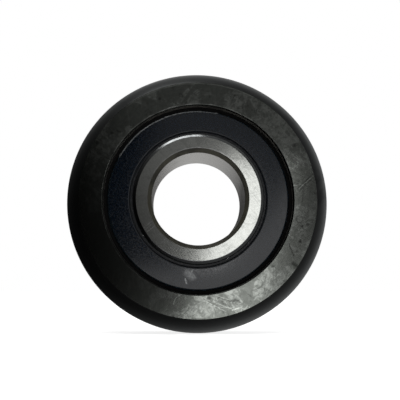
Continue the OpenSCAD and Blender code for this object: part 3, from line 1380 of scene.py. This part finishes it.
@dataclass
class Seal:
    """One side's seal: the dished steel cap and the three-lipped rubber behind it.

    Sizes are in millimetres. The cap's sheet follows a middle line: leg, curl, domed cone,
    shoulder, wall and flange. Its bends are the middle line's radii at curl, shoulder and flange.
    """

    finishes: Finishes
    side: Side
    sheet: float = 0.8
    mouth_radius: float = 29.3
    wall_radius: float = 39.1
    seat_along: float = 9.3
    cone_at_wall: float = 11.024
    rise: float = 6.6
    leg: float = 0.86
    flange_radius: float = 41.2
    bends: tuple[float, float, float] = (0.25, 0.7, 0.6)
    cut_edge: float = 0.1
    dome_height: float = 0.15
    dome_steps: int = 11
    lip_radius: float = 28.25
    lip_top: float = 12.1
    lip_count: int = 3
    plate_along: float = 9.4
    plate_radius: float = 30.6
    gap: float = 0.02
    moulded_edge: float = 0.05

    def cone(self, radius: float, below: float = 0.0) -> float:
        """Place along the axis of the cap's cone.

        Args:
            radius: Where on the cone.
            below: Distance from its middle surface to the surface that is asked for.

        Returns:
            The place along the axis.
        """
        slope = math.radians(self.rise)
        run = self.wall_radius - self.sheet / 2 - radius
        return self.cone_at_wall + run * math.tan(slope) - below / math.cos(slope)

    def dome(self, start: np.ndarray, end: np.ndarray) -> list[np.ndarray]:
        """Points of the shallow arc that the cone is domed to, ends left out.

        Each is on the chord at an even share t, raised by 4 * dome_height * t * (1 - t).

        Args:
            start: The chord's start, as radius and place along the axis.
            end: The chord's end.

        Returns:
            The points.
        """
        shares = np.linspace(0.0, 1.0, self.dome_steps + 1)[1:-1, None]
        raised = start + (end - start) * shares
        raised[:, 1:] += 4 * self.dome_height * shares * (1 - shares)
        return list(raised)

    def cap_corners(self) -> list[Corner]:
        """The cap's closed half section, which is its middle line pushed out to both sides.

        A corner of the line moves by s * (n0 + n1) / (1 + n0.n1), where n0 and n1 are the unit
        normals before and after it and s is plus or minus half the sheet, so the sheet is even.

        Returns:
            Its corners.
        """
        half = self.sheet / 2
        leg_radius = self.mouth_radius + half
        wall_radius = self.wall_radius - half
        flange_along = self.seat_along + half
        curl = np.array([leg_radius, self.cone(leg_radius)])
        shoulder = np.array([wall_radius, self.cone_at_wall])
        domed = self.dome(curl, shoulder)
        line = np.array(
            [
                [leg_radius, curl[1] - self.leg], curl, *domed, shoulder,
                [wall_radius, flange_along], [self.flange_radius, flange_along],
            ]
        )
        side = outward(np.diff(line, axis=0))
        first, last = np.vstack([side[:1], side]), np.vstack([side, side[-1:]])
        shift = (first + last) / (1 + np.sum(first * last, axis=1, keepdims=True)) * half
        smooth = [0.0] * len(domed)
        curl_bend, shoulder_bend, flange_bend = self.bends
        outer = [curl_bend + half, *smooth, shoulder_bend + half, flange_bend - half]
        inner = [curl_bend - half, *smooth, shoulder_bend - half, flange_bend + half]
        zones = ["curl", *["cap"] * (len(domed) + 1), "groove", "groove", "groove"]
        bends = ["", "curl", *[""] * len(domed), "rim", "", ""]
        top = [
            Corner(float(r), float(along), zone, edge, bend)
            for (r, along), zone, edge, bend in zip(
                line - shift, zones, [self.cut_edge, *outer, self.cut_edge], bends
            )
        ]
        bottom = [
            Corner(float(r), float(along), "groove", edge)
            for (r, along), edge in zip(line + shift, [self.cut_edge, *inner, self.cut_edge])
        ]
        return self.sided(top + bottom[::-1])

    def lips(self) -> list[Corner]:
        """The saw-tooth row of lips that runs down the rubber's inside.

        Returns:
            Three corners for each lip: its tip's two corners and the root below it.
        """
        pitch = (self.lip_top - self.plate_along) / (self.lip_count - 0.32)
        teeth = ((0.0, 0.0), (0.0, 0.2), (0.6, 0.68 * pitch))
        return [
            Corner(
                self.lip_radius + reach, self.lip_top - pitch * k - drop, "rubber",
                self.moulded_edge,
            )
            for k in range(self.lip_count)
            for reach, drop in teeth
        ]

    def rubber_corners(self) -> list[Corner]:
        """The rubber's closed half section: lips on the inside, the cap's shape on the outside.

        Returns:
            Its corners.
        """
        leg_radius = self.mouth_radius + self.sheet / 2
        leg_end = self.cone(leg_radius) - self.leg - self.gap
        behind_leg = self.mouth_radius + self.sheet + self.gap
        inside = self.mouth_radius - 0.15
        plate_inner = self.plate_radius - self.gap
        plate_top = self.plate_along + self.sheet + self.gap
        outside = self.wall_radius - self.sheet / 2 - self.bends[1]
        under = self.sheet / 2 + self.gap
        cone_start = behind_leg + 0.5
        cone_along = self.cone(cone_start, under)

        def edged(radius: float, along: float, edge: float = self.moulded_edge) -> Corner:
            """One corner of the rubber."""
            return Corner(radius, along, "rubber", edge)

        return self.sided(
            [
                edged(behind_leg, cone_along - 0.1),
                edged(behind_leg, leg_end),
                edged(inside, leg_end),
                edged(inside, self.lip_top - 0.3, 0.1),
                *self.lips(),
                edged(plate_inner, self.plate_along),
                edged(plate_inner, plate_top),
                edged(outside, plate_top),
                edged(outside, self.cone(outside, under)),
                edged(cone_start, cone_along),
            ]
        )

    def sided(self, corners: Sequence[Corner]) -> list[Corner]:
        """The corners on this seal's own side of the roller.

        Args:
            corners: A closed half section on the rear side.

        Returns:
            The same section, turned over to the front for a front seal.
        """
        if self.side is Side.REAR:
            return list(corners)
        zones = [c.zone for c in corners]
        return [
            Corner(c.radius, -c.along, zones[k - 1], c.edge, c.edge_zone)
            for k, c in reversed(list(enumerate(corners)))
        ]

    def build_cap(self) -> bpy.types.Object:
        """Turns the cap and sets it to move with the roller.

        Returns:
            The finished piece.
        """
        looks = {
            "cap": self.finishes.seal_cap.material(),
            "rim": self.finishes.seal_rim.material(),
            "curl": self.finishes.cap_curl.material(),
            "groove": self.finishes.cap_groove.material(),
        }
        wear = EdgeWear(20 + self.side.value, 0.97, 1.0)
        name = f"steel_cap_{self.side.word}"
        piece = Turning(320, wear).build(name, self.cap_corners(), looks)
        return settled(piece, "roller", f"seal_cap_{self.side.word}")

    def build_rubber(self) -> bpy.types.Object:
        """Turns the rubber and sets it to move with the roller.

        Returns:
            The finished piece.
        """
        looks = {"rubber": self.finishes.rubber.material()}
        wear = EdgeWear(20 + self.side.value, 0.9, 1.1)
        name = f"lip_seal_{self.side.word}"
        piece = Turning(240, wear).build(name, self.rubber_corners(), looks)
        return settled(piece, "roller", f"seal_rubber_{self.side.word}")


@dataclass
class BallSet:
    """The pieces that are closed in between the seals, which keep their frame shapes."""

    finishes: Finishes

    def dress(self) -> int:
        """Gives each closed-in node its finish.

        Returns:
            The number of nodes dressed.
        """
        looks = {
            "ball_": self.finishes.ball.material(),
            "cage_rivet_": self.finishes.rivet.material(),
            "cage_front": self.finishes.cage.material(),
            "seal_plate_": self.finishes.plate.material(),
        }
        looks["cage_rear"] = looks["cage_front"]
        dressed = 0
        for name, node in frame["nodes"].items():
            for start, look in looks.items():
                if name.startswith(start):
                    node.data.materials.clear()
                    node.data.materials.append(look)
                    dressed += 1
        return dressed


def settled(piece: bpy.types.Object, body: str, node: str) -> bpy.types.Object:
    """Rides a piece on its body, in place of its node.

    Args:
        piece: The finished piece.
        body: The body that it moves with.
        node: The node that it takes the place of.

    Returns:
        The piece.
    """
    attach(piece, body)
    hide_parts(node)
    LOG.info("%s: %d faces, rides on %s", piece.name, len(piece.data.polygons), body)
    return piece


# ---------------------------------------------------------------- the studio


@dataclass(frozen=True)
class Softbox:
    """A rectangular soft light that faces the roller.

    Attributes:
        name: The light's name.
        place: Where its middle is, in metres.
        size: Its width and height in metres.
        radiance: How bright its surface looks, where 1 is white.
        roll: Its turn about its own axis, in degrees.
        mirrored: Whether polished surfaces show it.
    """

    name: str
    place: tuple[float, float, float]
    size: tuple[float, float]
    radiance: float
    roll: float = 0.0
    mirrored: bool = True

    def build(self) -> None:
        """Hangs the light and aims it at the origin."""
        data = bpy.data.lights.new(self.name, "AREA")
        data.shape = "RECTANGLE"
        data.size, data.size_y = self.size
        data.energy = self.radiance * math.pi * self.size[0] * self.size[1]
        made = linked(bpy.data.objects.new(self.name, data))
        made.location = self.place
        aim = (-Vector(self.place)).to_track_quat("-Z", "Y")
        turn = Quaternion((0.0, 0.0, 1.0), math.radians(self.roll))
        made.rotation_euler = (aim @ turn).to_euler()
        made.visible_camera = False
        made.visible_glossy = self.mirrored


@dataclass
class Studio:
    """The pale floor, the soft lights, the surroundings and the camera.

    Attributes:
        floor_height: Height of the floor in metres.
        face_plane: Y of the front face, which the camera's line of sight passes through, in metres.
        aim: X and Z of that point on the front face, in metres.
        distance: Distance from it to the camera, in metres.
        azimuth: The camera's place round Z, in degrees from straight ahead.
        elevation: Its height angle in degrees.
        lens: Its focal length in millimetres.
        floor_radius: Radius of the floor in metres.
        floor_glow: The floor's own light, which stands for what the room throws on it.
        card: How bright the soft card at the lower right is.
        wall: How bright the wall on the right is.
        lights: The lamps.
    """

    floor_height: float
    face_plane: float
    aim: tuple[float, float] = (0.0006, -0.0008)
    distance: float = 0.27645
    azimuth: float = -2.2
    elevation: float = -7.63
    lens: float = 58.5
    floor_radius: float = 3.0
    floor_glow: float = 0.82
    card: float = 0.72
    wall: float = 0.15
    lights: tuple[Softbox, ...] = (
        Softbox("window", (0.160, -1.5, 0.026), (0.19, 0.56), 1.42, roll=-14.4),
        Softbox("high_window", (-0.22, -0.45, 1.03), (0.52, 0.40), 3.4),
        Softbox("overhead", (0.2, -0.1, 1.4), (1.2, 1.2), 1.4, mirrored=False),
    )

    def camera(self) -> None:
        """Places the camera on a line through the front face, turned by azimuth and elevation."""
        data = bpy.data.cameras.new("camera")
        data.lens = self.lens
        data.clip_start = 0.01
        made = linked(bpy.data.objects.new("camera", data))
        a, e = math.radians(self.azimuth), math.radians(self.elevation)
        back = Vector((math.sin(a) * math.cos(e), -math.cos(a) * math.cos(e), math.sin(e)))
        target = Vector((self.aim[0], self.face_plane, self.aim[1]))
        made.location = target + back * self.distance
        made.rotation_euler = (-back).to_track_quat("-Z", "Y").to_euler()
        bpy.context.scene.camera = made

    def floor(self) -> None:
        """Lays a round pale floor, (R cos a, R sin a, height), under the tread."""
        around = np.linspace(0, 2 * np.pi, 96, endpoint=False)
        height = np.full(len(around), self.floor_height)
        rim = np.column_stack(
            [self.floor_radius * np.cos(around), self.floor_radius * np.sin(around), height]
        )
        mesh = bpy.data.meshes.new("floor")
        mesh.from_pydata(rim.tolist(), [], [list(range(len(rim)))])
        shading = Shading("pale_floor")
        shading.colour(PALE)
        shading.shine(1.0, 0.0)
        for name, value in (
            ("Emission Color", (*WHITE, 1.0)), ("Emission Strength", self.floor_glow),
            ("Specular IOR Level", 0.0),
        ):
            shading.surface.inputs[name].default_value = value
        mesh.materials.append(shading.material)
        made = linked(bpy.data.objects.new("floor", mesh))
        made.visible_glossy = False
        made.visible_shadow = False

    def beside(self, sky: WorldShading) -> Socket:
        """What surrounds the roller to its sides and behind it.

        It is level(y) * across * upward, where across and upward are how far a direction leans
        away from the dark lower left and towards the ceiling. Right behind the roller, where only
        the tread and the bore mirror it, it is brighter the further down a direction leans.

        Args:
            sky: The world that is being written.

        Returns:
            The brightness in each direction.
        """
        x, y, z = sky.way
        reach = sky.math("SQRT", sky.add(sky.times(x, x), sky.times(z, z), 1e-6))

        def leaning(right: float, up: float) -> Socket:
            """How far a direction leans towards a way given in the plane of X and Z."""
            return sky.math("DIVIDE", sky.add(sky.times(x, right), sky.times(z, up)), reach)

        level = sky.add(sky.smooth(y, -0.6, 0.1, 0.14, 0.22), sky.smooth(y, 0.1, 0.8, 0.0, 0.28))
        across = sky.smooth(leaning(0.966, 0.259), -1.0, 0.25, 0.02, 1.0)
        upward = sky.smooth(leaning(0.0, 1.0), -0.2, 0.9, 0.75, 1.0)
        behind = sky.smooth(leaning(-0.06, -0.998), -0.85, 1.05, 0.04, 0.56)
        around = sky.times(level, across, upward)
        return sky.between(sky.smooth(y, 0.90, 0.97), around, behind)

    def ahead(self, sky: WorldShading) -> Socket:
        """What the flat faces mirror: a dim wall and a soft card.

        The wall darkens to the left and downwards, and the card grows towards the lower right.

        Args:
            sky: The world that is being written.

        Returns:
            The brightness in each direction.
        """
        x, _, z = sky.way
        rightward = sky.add(x, sky.times(z, 0.35), -0.048)
        downward = sky.add(sky.times(x, 0.6), sky.times(z, -1.0))
        wall = sky.times(
            sky.smooth(rightward, -0.15, 0.03, 0.004, self.wall),
            sky.smooth(z, 0.0, 0.3, 0.6, 1.0),
        )
        card = sky.smooth(downward, -0.04, 0.2, 0.0, self.card)
        return sky.math("MAXIMUM", wall, card)

    def surroundings(self) -> None:
        """White behind the roller to the eye, and a studio of graded light to its surfaces."""
        sky = WorldShading("studio")
        sideways = sky.smooth(sky.way[1], -0.86, -0.62)
        sky.finish(sky.between(sideways, self.ahead(sky), self.beside(sky)))

    def build(self) -> None:
        """Makes the whole studio."""
        self.camera()
        self.floor()
        self.surroundings()
        for light in self.lights:
            light.build()
        bpy.context.scene.view_settings.view_transform = "Standard"


def main() -> None:
    """Builds the roller and its studio, and writes how large the result is."""
    logging.basicConfig(level=logging.INFO, format="%(name)s: %(message)s")
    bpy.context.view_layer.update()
    finishes = Finishes()
    mounts = {m["name"]: m for m in frame["record"]["mounts"]}
    tread_radius = mounts["tread"]["dims"]["r_mm"]
    bore_radius = mounts["bore"]["dims"]["r_mm"]
    outer_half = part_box("outer_ring")[1].y / MM
    inner_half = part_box("inner_ring")[1].y / MM
    Studio(floor_height=-tread_radius * MM, face_plane=-outer_half * MM).build()
    OuterRing(finishes, tread_radius, outer_half).build()
    InnerRing(finishes, bore_radius, inner_half).build()
    for side in Side:
        seal = Seal(finishes, side)
        seal.build_cap()
        seal.build_rubber()
    LOG.info("%d closed-in nodes dressed", BallSet(finishes).dress())


if __name__ == "__main__":
    main()
